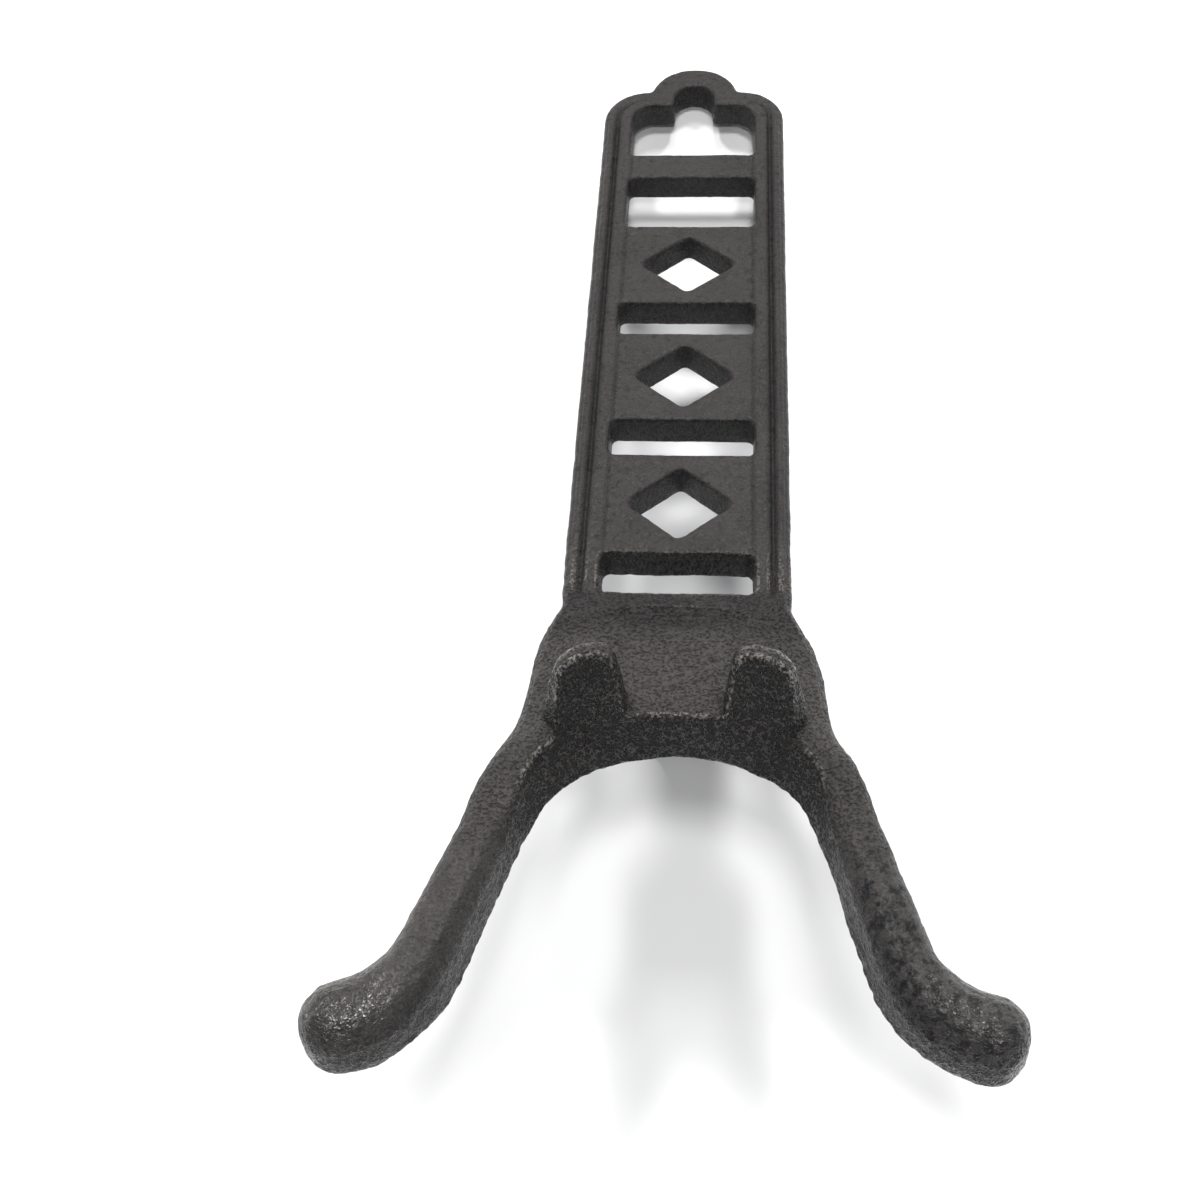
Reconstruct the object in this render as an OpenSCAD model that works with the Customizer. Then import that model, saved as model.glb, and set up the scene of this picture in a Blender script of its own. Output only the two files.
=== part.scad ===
// Cast-iron boot jack: a pierced plate that rests on its tail and on one leg, with a fork for the heel.
// The members are drawn flat, with X across, Y towards the tail and Z = 0 on the plate's top,
// and stand() then tips them onto the floor. Lengths are in millimetres, angles in degrees.

/* [Plate] */
// Width across the two side rails
plate_w = 46; // [42:0.5:52]
// Width of each side rail, from the plate's edge to the openwork
rail_w = 7.25; // [6.5:0.25:9]
// Thickness of the plate at the tail
tail_t = 6.2; // [5:0.2:8]
// Thickness of the plate where it meets the deck
neck_t = 8.5; // [7:0.5:10]
// Bevel along the plate's upper edge
edge_bevel = 0.9; // [0.3:0.1:1.4]
// Width of the raised rim that runs round the plate, bevel included
rim_w = 3; // [2:0.25:3.5]
// Width of the groove inside the rim
groove_w = 1.25; // [0.8:0.05:1.6]
// Depth of the groove
groove_d = 0.7; // [0.3:0.1:1.2]

/* [Tail] */
// Radius of the round lobe at the end of the tail
lobe_r = 11.2; // [10:0.2:12.4]
// Radius of the two tail corners
shoulder_r = 11; // [9:0.5:12]
// How far the tail corners lie behind the end of the lobe
shoulder_drop = 9.5; // [8.5:0.5:11]
// Length from the end of the lobe to the crossbar, which closes the hanging eye
eye_len = 34.6; // [31:0.2:40]
// Radius of the middle foil of the eye
eye_mid_r = 5.2; // [4:0.2:6]
// Radius of the two side foils of the eye
eye_side_r = 5.6; // [4.6:0.2:6.4]
// Iron left between the middle foil and the end of the lobe
lobe_wall = 7.4; // [5:0.2:9]
// Iron left between the side foils and the tail corners
shoulder_wall = 5.7; // [4:0.1:7]

/* [Openwork] */
// Length of the crossbar below the eye
crossbar_len = 8.8; // [6:0.2:12]
// Length of the window between the crossbar and the first panel
window_len = 17.7; // [12:0.1:22]
// Length of each pierced panel
panel_len = 26.3; // [23:0.1:32]
// Length of the slot that follows each panel
slot_len = 9.6; // [6:0.1:13]
// How far the panels and the crossbar lie below the rails
panel_drop = 0.35; // [0:0.05:0.8]
// Corner radius of the slots and windows
slot_r = 1.8; // [0.5:0.1:2.8]
// Width of the lozenge that pierces each panel
lozenge_w = 21; // [15:0.5:25]
// Length of the lozenge
lozenge_len = 17.6; // [12:0.2:20]
// Corner radius of the lozenge
lozenge_r = 1.6; // [0.8:0.1:2.4]

/* [Neck and throat] */
// Width across the flanks of the deck, behind the fork
neck_w = 57.4; // [54:0.2:62]
// Length from the last slot to the throat's upper edge, on the centre line
deck_len = 28.8; // [26:0.2:34]
// Straight stretch before the flanks widen
flank_lead = 3.4; // [1:0.2:5]
// How far the flanks' widest place lies behind the throat's edge
flank_back = 4.2; // [2:0.2:6]
// Height of the deck above the rails
deck_rise = 0.6; // [0:0.1:1.2]
// Depth of the throat's wall and of the arms
fork_t = 14; // [12:0.5:17]
// How far the throat's upper edge lies behind its lower one
throat_draft = 1.9; // [0.5:0.1:3]
// Half width of the flat middle of the throat
throat_half = 18; // [15:0.5:21]
// Radius of the throat's middle along its lower edge
throat_low_r = 35; // [30:1:45]
// Radius of the throat's corners along its lower edge
corner_low_r = 16; // [13:0.5:19]
// Radius of the throat's middle along its upper edge, which the heel lugs follow
throat_high_r = 73; // [60:1:90]
// Radius of the throat's corners along its upper edge
corner_high_r = 12.5; // [10:0.5:15]

/* [Fork arms] */
// Width of each arm
arm_w = 12.2; // [10.5:0.1:14]
// Splay of each arm from the centre line
arm_angle = 19; // [12:1:24]
// Length of the straight stretch of each arm
arm_len = 31.5; // [22:0.5:40]
// Radius of the outward bend, on the arm's centre line
bend_r = 19.5; // [16:0.5:26]
// Turn of the outward bend
bend_angle = 59; // [35:1:70]
// Rounding of the arm's upper edge on the mouth side
arm_in_r = 4.4; // [3:0.1:5]
// Rounding of the arm's upper edge on the outer side
arm_out_r = 2.6; // [1.5:0.1:3.5]
// Slope of the arm's mouth side, as a width
arm_slope = 1.2; // [0.3:0.1:1.8]
// How far the round end of the arm stands out past the arm's sides
tip_grow = 0.6; // [0.3:0.1:1.5]

/* [Heel lugs] */
// Distance of each lug's inner side from the centre line, at its foot
lug_in = 9.1; // [7:0.1:11]
// Width of each lug's face at its foot
lug_w = 13; // [11.5:0.1:14]
// Height of the lugs above the rails
lug_h = 22.3; // [16:0.1:26]
// Thickness of the lugs at the top
lug_t = 3.6; // [2.6:0.1:4.4]
// Thickness of the lugs at the foot
lug_foot_t = 6; // [5:0.1:7]
// How far the lug's outer side runs outwards behind its face
lug_back_w = 3.4; // [1:0.1:4]
// How much each lug narrows towards its top, on each side
lug_taper = 1.5; // [0.5:0.1:2]
// Rounding of the lug's upper corners
lug_r = 3.2; // [2:0.1:4]

/* [Leg] */
// Height of the plate's top above the floor, measured along the leg
leg_h = 46; // [40:0.5:55]
// Distance of the leg from the end of the tail
leg_y = 175.5; // [174:0.1:180]
// Width of the leg where it leaves the deck
leg_root_w = 28; // [22:0.5:34]
// Width of the leg's foot
leg_foot_w = 15; // [12:0.5:20]
// Thickness of the leg
leg_t = 6.6; // [5:0.1:8]

/* [Hidden] */
$fn = 72;
iron = [0.17, 0.16, 0.155];
// Overlap of cutting solids past the faces that they cut
past = 1;
// Points on each arc of an outline
arc_steps = 10;

plate_half = plate_w / 2;
open_half = plate_half - rail_w;
crossbar_end = eye_len + crossbar_len;
first_panel = crossbar_end + window_len;
panel_pitch = panel_len + slot_len;
near_end = first_panel + 3 * panel_pitch;
throat_y = near_end + deck_len;
// The underside of the deck drops to the fork's depth over this length
deck_slope_len = deck_len * 0.6;

// Slope of the plate over the floor when it rests on its tail's lower edge and on the leg's foot
tilt = atan((leg_h - tail_t) / leg_y);
function floor_z(y) = -tail_t + y * tan(tilt);
function under_z(y) = -neck_t - (fork_t - neck_t) * min(1, (-near_end - y) / deck_slope_len);

// One side of the throat: a wide middle arc, a corner arc and a straight run along the arm
function throat_side(y, mid_r, corner_r, run) =
    let (a = asin(throat_half / mid_r), b = 90 - arm_angle)
    let (x1 = throat_half, y1 = y - mid_r * (1 - cos(a)))
    let (x2 = x1 + corner_r * (sin(b) - sin(a)), y2 = y1 - corner_r * (cos(a) - cos(b)))
    concat(
        [for (i = [0 : arc_steps]) let (t = a * i / arc_steps) [mid_r * sin(t), y - mid_r * (1 - cos(t))]],
        [for (i = [1 : arc_steps]) let (t = a + (b - a) * i / arc_steps)
            [x1 + corner_r * (sin(t) - sin(a)), y1 - corner_r * (cos(a) - cos(t))]],
        [[x2 + run * cos(b), y2 - run * sin(b)]]);

function mirrored(points) = [for (i = [len(points) - 1 : -1 : 0]) [-points[i][0], points[i][1]]];
function whole(side) = concat(mirrored(side), [for (i = [1 : len(side) - 1]) side[i]]);

low_side = throat_side(-throat_y - throat_draft, throat_low_r, corner_low_r, 0);
// Inner lower corner of the arm's root, and the arm's direction and outward normal
arm_root = low_side[len(low_side) - 1];
arm_dir = [sin(arm_angle), -cos(arm_angle)];
arm_out = [cos(arm_angle), sin(arm_angle)];
bend_start = arm_root + arm_len * arm_dir;
bend_centre = bend_start + (bend_r + arm_w / 2) * arm_out;
tip_angle = arm_angle + bend_angle;
tip_centre = bend_centre - bend_r * [cos(tip_angle), sin(tip_angle)];
tip_r = arm_w / 2 + tip_grow;

// Where the tips and the tail end along the floor, to centre the jack on its own origin
tip_reach = (tip_centre[1] - tip_r) * cos(tilt) - fork_t * sin(tilt);
tail_reach = -edge_bevel * sin(tilt);

// The flank of the deck bulges on one arc that ends almost in line with the plate
flank_y0 = -near_end - flank_lead;
flank_y1 = -throat_y + flank_back;
flank_bulge = neck_w / 2 - plate_half;
flank_chord = atan(flank_bulge / (flank_y0 - flank_y1));
flank_turn = flank_chord - 4;
flank_r = norm([flank_bulge, flank_y0 - flank_y1]) / 2 / sin(flank_turn);
function flank_point(t) =
    let (a = flank_chord + flank_turn)
    [plate_half + flank_r * (cos(a - t) - cos(a)), flank_y0 - flank_r * (sin(a) - sin(a - t))];
flank = [for (i = [0 : arc_steps]) flank_point(2 * flank_turn * i / arc_steps)];

// Stands the drawn jack on the floor, with its origin at the middle of its footprint
module stand() {
    translate([0, -(tip_reach + tail_reach) / 2, tail_t * cos(tilt)]) rotate([-tilt, 0, 0]) children();
}

// Solid of an outline drawn in the plane of Y and Z, as wide as it is asked to be
module side_cut(width) {
    rotate([90, 0, 90]) translate([0, 0, -width / 2]) linear_extrude(width) children();
}

// Wedge between the plate's top, or a level below it, and its sloping underside
module slab(drop = 0) {
    side_cut(2 * plate_w)
        polygon([[past, -drop], [past, -tail_t], [0, -tail_t], [-near_end, -neck_t], [-near_end, -drop]]);
}

module bevelled_disc(r) {
    translate([0, 0, -neck_t]) cylinder(r = r, h = neck_t - edge_bevel);
    translate([0, 0, -edge_bevel]) cylinder(r1 = r, r2 = r - edge_bevel, h = edge_bevel);
}

// Upright block with bevelled upper sides, from y1 back to y0
module bevelled_bar(half, y0, y1) {
    translate([0, y1, 0]) rotate([90, 0, 0]) linear_extrude(y1 - y0)
        polygon([[-half, -neck_t], [half, -neck_t], [half, -edge_bevel], [half - edge_bevel, 0],
            [-half + edge_bevel, 0], [-half, -edge_bevel]]);
}

// Plan of the plate, drawn in from its edge by a given width
module plate_plan(inset) {
    corner_x = plate_half - shoulder_r;
    corner_y = -shoulder_drop - shoulder_r;
    translate([0, -lobe_r]) circle(lobe_r - inset);
    for (side = [-1, 1])
        translate([side * corner_x, corner_y]) circle(shoulder_r - inset);
    translate([-corner_x, corner_y]) square([2 * corner_x, shoulder_r - inset]);
    translate([-plate_half + inset, -near_end]) square([plate_w - 2 * inset, near_end + corner_y]);
}

// The plate before it is pierced: lobed tail, bevelled edge, sloping underside, and groove inside the rim
module plate_blank() {
    corner_x = plate_half - shoulder_r;
    corner_y = -shoulder_drop - shoulder_r;
    difference() {
        intersection() {
            union() {
                translate([0, -lobe_r, 0]) bevelled_disc(lobe_r);
                for (side = [-1, 1])
                    translate([side * corner_x, corner_y, 0]) bevelled_disc(shoulder_r);
                bevelled_bar(plate_half, -near_end, corner_y);
                side_cut(2 * corner_x)
                    polygon([[corner_y, -neck_t], [-shoulder_drop, -neck_t], [-shoulder_drop, -edge_bevel],
                        [-shoulder_drop - edge_bevel, 0], [corner_y, 0]]);
            }
            slab();
        }
        translate([0, 0, -groove_d]) linear_extrude(groove_d + past) difference() {
            plate_plan(rim_w);
            plate_plan(rim_w + groove_w);
        }
    }
}

// The trefoil hanging eye. The side foils' tops run straight to the middle foil
module eye_plan() {
    side_x = open_half - eye_side_r;
    side_y = -shoulder_drop - shoulder_wall - eye_side_r;
    mid_y = -lobe_wall - eye_mid_r;
    translate([0, mid_y]) circle(eye_mid_r);
    translate([-eye_mid_r, side_y]) square([2 * eye_mid_r, mid_y - side_y]);
    for (side = [-1, 1])
        translate([side * side_x, side_y]) circle(eye_side_r);
    translate([-side_x, side_y - past]) square([2 * side_x, eye_side_r + past]);
    translate([-open_half, -eye_len]) square([2 * open_half, eye_len + side_y]);
}

module tail_arch() color(iron) stand() difference() {
    intersection() {
        plate_blank();
        translate([-plate_w, -eye_len, -neck_t - past]) cube([2 * plate_w, eye_len + past, neck_t + 2 * past]);
    }
    translate([0, 0, -neck_t - past]) linear_extrude(neck_t + 2 * past) eye_plan();
}

module rail(side) {
    intersection() {
        plate_blank();
        translate([side > 0 ? open_half : -plate_half - past, -near_end, -neck_t - past])
            cube([rail_w + past, near_end - eye_len, neck_t + 2 * past]);
    }
}
module left_rail() color(iron) stand() rail(-1);
module right_rail() color(iron) stand() rail(1);

// Rung between the rails from y0 back by len, with hollow corners where it meets them
module rung_plan(y0, len, front_r = slot_r, back_r = slot_r) {
    difference() {
        translate([-open_half, y0 - len - back_r]) square([2 * open_half, len + front_r + back_r]);
        for (end = [[y0 + front_r, front_r], [y0 - len - back_r, back_r]])
            if (end[1] > 0)
                for (side = [-1, 1]) {
                    translate([side * (open_half - end[1]), end[0]]) circle(end[1]);
                    translate([-open_half + end[1], end[0] - end[1]])
                        square([2 * (open_half - end[1]), 2 * end[1]]);
                }
    }
}

module tail_crossbar() color(iron) stand() intersection() {
    translate([0, 0, -neck_t - past]) linear_extrude(neck_t + 2 * past)
        rung_plan(-eye_len, crossbar_len, front_r = 0);
    slab(panel_drop);
}

module lozenge_plan() {
    tip_x = lozenge_w / 2;
    tip_y = lozenge_len / 2;
    // The corners are round, and each side lies one corner radius outside the corner centres
    in_x = tip_x - lozenge_r;
    in_y = tip_y - lozenge_r;
    lean = atan(in_y / in_x);
    normal = lozenge_r * [sin(lean), cos(lean)];
    for (side = [-1, 1]) {
        translate([side * in_x, 0]) circle(lozenge_r);
        translate([0, side * in_y]) circle(lozenge_r);
    }
    polygon([[in_x, 0] + normal, [0, in_y] + normal, [0, in_y] + [-normal[0], normal[1]],
        [-in_x, 0] + [-normal[0], normal[1]], [-in_x, 0] - normal, [0, -in_y] - normal,
        [0, -in_y] + [normal[0], -normal[1]], [in_x, 0] + [normal[0], -normal[1]]]);
}

module panel(index) {
    y0 = -first_panel - index * panel_pitch;
    intersection() {
        translate([0, 0, -neck_t - past]) linear_extrude(neck_t + 2 * past) difference() {
            rung_plan(y0, panel_len);
            translate([0, y0 - panel_len / 2]) lozenge_plan();
        }
        slab(panel_drop);
    }
}
module tail_panel() color(iron) stand() panel(0);
module middle_panel() color(iron) stand() panel(1);
module near_panel() color(iron) stand() panel(2);

// Space of the mouth inside the deck: the throat's lower outline lofted to its upper one
module throat_cut() {
    run = 3 * arm_w;
    low = whole(throat_side(-throat_y - throat_draft, throat_low_r, corner_low_r, run));
    high = whole(throat_side(-throat_y, throat_high_r, corner_high_r, run));
    count = len(low);
    // The side walls run on past the deck's top and underside at the same slope
    grow = past / fork_t;
    levels = [[-grow, -fork_t - past], [1 + grow, past]];
    points = [for (level = levels) for (i = [0 : count - 1])
        let (p = low[i] + level[0] * (high[i] - low[i])) [p[0], p[1], level[1]]];
    walls = [for (i = [0 : count - 1]) let (j = (i + 1) % count)
        each [[i, j, count + i], [j, count + j, count + i]]];
    polyhedron(points, concat(walls,
        [[for (i = [0 : count - 1]) count - 1 - i]], [[for (i = [0 : count - 1]) count + i]]));
}

deck_side = concat([[0, -near_end], [plate_half, -near_end]], flank, [arm_root + arm_w * arm_out, arm_root]);
// The raised field reaches far enough forwards to carry the lugs
field_side = concat([[0, flank_y0]], flank, [[lug_in + lug_w, -throat_y - lug_foot_t]]);

module neck_deck() color(iron) stand() {
    difference() {
        union() {
            translate([0, 0, -fork_t]) linear_extrude(fork_t) polygon(whole(deck_side));
            linear_extrude(deck_rise) polygon(whole(field_side));
        }
        throat_cut();
        // The underside falls from the plate's thickness to the fork's depth
        side_cut(2 * neck_w)
            polygon([[-near_end + past, -fork_t - past], [-near_end + past, -neck_t], [-near_end, -neck_t],
                [-near_end - deck_slope_len, -fork_t], [-near_end - deck_slope_len, -fork_t - past]]);
    }
    // Hollow corners at the end of the last slot
    intersection() {
        translate([0, 0, -neck_t - past]) linear_extrude(neck_t + 2 * past)
            rung_plan(-near_end, deck_rise, back_r = 0);
        slab(panel_drop);
    }
}

// Section of the arm: n runs outwards from the mouth side, and the upper edges are round
module arm_section() {
    in_x = arm_slope + arm_in_r;
    out_x = arm_w - arm_out_r;
    polygon(concat([[0, -fork_t], [arm_w, -fork_t]],
        [for (i = [0 : arc_steps]) let (t = 90 * i / arc_steps)
            [out_x + arm_out_r * cos(t), arm_out_r * (sin(t) - 1)]],
        [for (i = [0 : arc_steps]) let (t = 90 + 90 * i / arc_steps)
            [in_x + arm_in_r * cos(t), arm_in_r * (sin(t) - 1)]]));
}

module arm() {
    translate([arm_root[0], arm_root[1], 0]) rotate([90, 0, arm_angle]) linear_extrude(arm_len) arm_section();
}

// Outward bend and round end of the arm
module arm_tip() {
    translate([bend_centre[0], bend_centre[1], 0]) rotate([0, 0, arm_angle + 180])
        rotate_extrude(angle = bend_angle) translate([bend_r + arm_w / 2, 0]) mirror([1, 0]) arm_section();
    // The round end starts just inside the bend
    translate([tip_centre[0], tip_centre[1], 0]) rotate([0, 0, tip_angle]) intersection() {
        rotate_extrude() polygon(concat([[0, -fork_t], [tip_r, -fork_t]],
            [for (i = [0 : arc_steps]) let (t = 90 * i / arc_steps)
                [tip_r + arm_out_r * (cos(t) - 1), arm_out_r * (sin(t) - 1)]], [[0, 0]]));
        translate([-2 * tip_r, -2 * tip_r, -fork_t - past])
            cube([4 * tip_r, 2 * tip_r + past / 2, fork_t + 2 * past]);
    }
}
module left_arm() color(iron) stand() mirror([1, 0, 0]) arm();
module right_arm() color(iron) stand() arm();
module left_arm_tip() color(iron) stand() mirror([1, 0, 0]) arm_tip();
module right_arm_tip() color(iron) stand() arm_tip();

// Outline of the lug, seen from the mouth: tapered, with round upper corners, and lower on its outer side
module lug_face() {
    foot_x = lug_in + lug_w + lug_back_w;
    left_x = lug_in + lug_taper + lug_r;
    right_x = foot_x - 2 * lug_taper - lug_r;
    top_z = lug_h - lug_r;
    fall = 0.22 * (right_x - left_x);
    polygon(concat([[lug_in, deck_rise], [foot_x, deck_rise]],
        [for (i = [0 : arc_steps]) let (t = 90 * i / arc_steps)
            [right_x + lug_r * cos(t), top_z - fall + lug_r * sin(t)]],
        [for (i = [0 : arc_steps]) let (t = 90 + 90 * i / arc_steps)
            [left_x + lug_r * cos(t), top_z + lug_r * sin(t)]]));
}

// Lug on the throat's upper edge: its front and back are cones about one axis, so it thins towards its top
module heel_lug() {
    axis_y = -throat_y - throat_high_r;
    outer = lug_in + lug_w;
    lean = (lug_foot_t - lug_t) * 0.6;
    face_y = axis_y + sqrt(throat_high_r * throat_high_r - outer * outer);
    difference() {
        intersection() {
            translate([0, -throat_y + lug_foot_t, 0]) rotate([90, 0, 0]) linear_extrude(3 * lug_foot_t) lug_face();
            // Plan of the lug, whose outer side runs back and outwards
            linear_extrude(lug_h + past)
                polygon([[0, face_y - past], [outer, face_y - past], [outer, face_y],
                    [outer + lug_back_w, face_y + lug_foot_t - past], [outer + lug_back_w, 0], [0, 0]]);
            translate([0, axis_y, 0])
                cylinder(r1 = throat_high_r + lug_foot_t, r2 = throat_high_r + lean + lug_t, h = lug_h, $fn = 180);
        }
        translate([0, axis_y, -past])
            cylinder(r1 = throat_high_r - lean * past / lug_h, r2 = throat_high_r + lean * (1 + past / lug_h),
                h = lug_h + 2 * past, $fn = 180);
    }
}
module left_heel_lug() color(iron) stand() mirror([1, 0, 0]) heel_lug();
module right_heel_lug() color(iron) stand() heel_lug();

// Tapered tongue under the deck with hollow flanks and a foot that is flat on the floor
module leg() color(iron) stand() {
    front = -leg_y - leg_t / 2;
    back = -leg_y + leg_t / 2;
    foot_z = floor_z(front);
    root_z = under_z(back);
    flare = (leg_root_w - leg_foot_w) / 2;
    side = [for (i = [0 : arc_steps]) let (t = i / arc_steps)
        [leg_foot_w / 2 + flare * t * t, foot_z + (root_z - foot_z) * t]];
    intersection() {
        translate([0, back, 0]) rotate([90, 0, 0]) linear_extrude(leg_t) polygon(concat(side, mirrored(side)));
        side_cut(2 * leg_root_w)
            polygon([[front, floor_z(front)], [back, floor_z(back)], [back, under_z(back)], [front, under_z(front)]]);
    }
}

tail_arch();
tail_crossbar();
left_rail();
right_rail();
tail_panel();
middle_panel();
near_panel();
neck_deck();
left_heel_lug();
right_heel_lug();
left_arm();
right_arm();
left_arm_tip();
right_arm_tip();
leg();
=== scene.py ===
"""A cast-iron boot jack on a pale floor: a pierced plate with a hanging eye, a leg, a heel fork and two lugs.

The real jack is one casting whose skin runs through soft fillets from member to member. So its shape here
is one distance field, worked out with numpy from the casting's sizes, and each member's piece is that
field's zero level inside the member's own bounds. Neighbours share the points of their seams, so the skin
shows no joint. The field is drawn in the plate's frame in millimetres: x across, y towards the tail, z off
the plate's top.
"""
import math
import bpy
import numpy as np
from mathutils import Euler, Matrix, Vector


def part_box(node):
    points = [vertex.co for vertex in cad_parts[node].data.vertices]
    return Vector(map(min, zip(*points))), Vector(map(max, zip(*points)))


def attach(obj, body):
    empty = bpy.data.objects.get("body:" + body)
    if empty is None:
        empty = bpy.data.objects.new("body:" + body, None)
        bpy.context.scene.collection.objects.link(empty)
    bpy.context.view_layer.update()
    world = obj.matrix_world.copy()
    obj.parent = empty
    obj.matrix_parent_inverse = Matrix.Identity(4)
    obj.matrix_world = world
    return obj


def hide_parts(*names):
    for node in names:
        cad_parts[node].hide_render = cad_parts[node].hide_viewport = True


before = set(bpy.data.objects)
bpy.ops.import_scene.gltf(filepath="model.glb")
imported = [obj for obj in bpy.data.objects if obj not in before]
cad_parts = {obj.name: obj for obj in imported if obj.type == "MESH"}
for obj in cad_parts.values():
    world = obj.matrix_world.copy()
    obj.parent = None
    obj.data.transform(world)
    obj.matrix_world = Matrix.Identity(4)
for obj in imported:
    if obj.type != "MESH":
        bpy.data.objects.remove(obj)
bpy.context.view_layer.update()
MM = 0.001

# Camera at the photographer's place, steeply above the fork's end, in metres and degrees
camera_place = (0.00696, -0.13881, 0.30353)
camera_turn = (21.261, 3.802, 2.719)
camera = bpy.data.cameras.new("camera")
camera.sensor_width = 36.0
camera.lens = 42.0
camera.clip_start = 0.01
shot = bpy.data.objects.new("camera", camera)
shot.location = camera_place
shot.rotation_euler = Euler([math.radians(angle) for angle in camera_turn], "XYZ")
bpy.context.scene.collection.objects.link(shot)
bpy.context.scene.camera = shot

# Plate
plate_half = 23.0
rail_w = 7.25
tail_t = 6.2
neck_t = 8.5
open_half = plate_half - rail_w
edge_bevel = 0.9
opening_edge_r = 0.9
pattern_draft = 0.03
bead_at = 1.95
bead_half = 1.0
bead_h = 0.45
groove_at = 3.55
groove_half = 0.62
groove_d = 0.6
groove_climb = 1.4
panel_drop = 0.35

# Tail
lobe_r = 11.2
lobe_blend = 2.0
shoulder_r = 11.0
shoulder_drop = 9.5
eye_len = 34.6
eye_mid_r = 5.2
eye_side_r = 5.6
eye_corner_r = 1.4
foil_blend = 1.2
lobe_wall = 7.4
shoulder_wall = 5.7

# Openwork
crossbar_len = 8.8
window_len = 17.7
panel_len = 26.3
slot_len = 9.6
slot_r = 1.8
lozenge_w = 21.0
lozenge_len = 17.6
lozenge_r = 1.6
panels = 3
crossbar_end = eye_len + crossbar_len
first_panel = crossbar_end + window_len
panel_pitch = panel_len + slot_len
near_end = first_panel + panels * panel_pitch

# Deck and throat
deck_len = 28.8
throat_y = near_end + deck_len
flank_start = 172.0
flank_len = 22.0
flank_bulge = 6.6
flank_lean = 0.18
flank_swell = 3.2
flank_soft = 0.004
flank_fillet = 1.8
flank_overlap = 4.0
flank_blend = 0.5
deck_rise = 0.6
deck_crown = 0.012
crown_from = 12.0
fork_t = 14.0
deck_slope_len = deck_len * 0.6
throat_draft = 1.4
throat_half = 18.0
# Radii of the throat's middle and corner arcs, low and high on its wall
throat_low = (35.0, 16.0)
throat_high = (73.0, 12.5)
sink_y = 175.5
sink_size = (14.0, 2.9)
sink_depth = 1.0
# A low hump in each of the deck's far corners
hump_h = 0.5
hump_in = 1.5
hump_back = 4.0
hump_spread = 14.0

# Fork arms
arm_w = 12.2
arm_angle = math.radians(19)
arm_len = 31.5
bend_r = 19.5
bend_angle = math.radians(59)
arm_slope = 0.7
arm_crown = 0.018
tip_slope = 1.6
tip_flare = 0.6
root_hollow = 1.0
root_hollow_at = 2.0
root_hollow_len = 10.0
root_blend = 17.0
back_slim = 0.9

# Heel lugs
lug_in = 9.1
lug_w = 13.0
lug_h = 22.0
lug_t = 3.4
lug_foot_t = 6.0
lug_lean = 0.075
lug_in_taper = 0.075
lug_out_taper = 0.07
lug_spread = 0.57
lug_spread_depth = 8.0
lug_mid = 13.5
lug_top_fall = 0.22
lug_in_r = 5.8
lug_out_r = 3.8
lug_back_r = 1.7
lug_fillet = 1.8

# Leg
leg_h = 46.0
leg_y = 175.5
leg_root_half = 14.0
leg_foot_half = 7.5
leg_t = 6.6
leg_top = 8.0
leg_edge_r = 1.5
leg_end_r = 0.5
leg_fillet = 3.0

# Share of a level run that is distance off a slanted side, and of an upright run off the lug's slanted top
side_slant = 0.95
lug_top_slant = 0.97

# How the cast fork departs from its pattern: stretch and skew per millimetre, shifts and slimming in
# millimetres
fork_stretch = 0.028
fork_skew = 0.023
throat_shift = 0.6
tip_shift = 0.8
right_arm_slim = 0.4
right_root_slim = 0.8

tilt = math.atan((leg_h - tail_t) / leg_y)


def smooth_min(a, b, k):
    """Lesser of two distances, less a quarter of k times the square of how close they come within k."""
    near = np.maximum(k - np.abs(a - b), 0) / k
    return np.minimum(a, b) - near * near * k / 4


def round_edge(a, b, r):
    """Inside of both a and b, with their shared edge rounded to radius r: a quarter circle about the inset
    corner."""
    inset_a, inset_b = a + r, b + r
    off_corner = np.hypot(np.maximum(inset_a, 0), np.maximum(inset_b, 0))
    return np.minimum(np.maximum(inset_a, inset_b), 0) + off_corner - r


def fillet(a, b, r):
    """Inside of either a or b, with a hollow fillet of radius r where they meet."""
    return np.maximum(np.minimum(a, b), r) - np.hypot(np.maximum(r - a, 0), np.maximum(r - b, 0))


def ease(t, start, end):
    """0 at start, 1 at end, and between them 3 times the square less twice the cube of the share."""
    share = np.clip((t - start) / (end - start), 0, 1)
    return share * share * (3 - 2 * share)


def eased(t, stops, values):
    """Value that eases from one stop to the next."""
    total = values[0] + 0 * t
    for i in range(len(stops) - 1):
        total = total + (values[i + 1] - values[i]) * ease(t, stops[i], stops[i + 1])
    return total


def disc(x, y, cx, cy, r):
    """Distance out of a circle."""
    return np.hypot(x - cx, y - cy) - r


def box(x, y, half_x, y0, y1, r):
    """Distance out of a rectangle from y0 to y1 with corners of radius r, centred across."""
    return round_edge(np.abs(x) - half_x, np.abs(y - (y0 + y1) / 2) - (y1 - y0) / 2, r)


def lozenge(x, y, cy):
    """Distance out of a rhombus with round corners: distance to its inset side, less the corner radius."""
    px, py = np.abs(x), np.abs(y - cy)
    in_x, in_y = lozenge_w / 2 - lozenge_r, lozenge_len / 2 - lozenge_r
    along = np.clip(((in_x - px) * in_x + py * in_y) / (in_x * in_x + in_y * in_y), 0, 1)
    away = np.hypot(px - in_x * (1 - along), py - in_y * along)
    return np.where(px * in_y + py * in_x < in_x * in_y, -away, away) - lozenge_r


def plate_outline(x, y):
    """Distance out of the plate's outline: round lobe and round-shouldered strip with hollow corners."""
    lobe = disc(x, y, 0, -lobe_r, lobe_r)
    strip = box(x, y, plate_half, -near_end - shoulder_r, -shoulder_drop, shoulder_r)
    return smooth_min(lobe, strip, lobe_blend)


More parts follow.
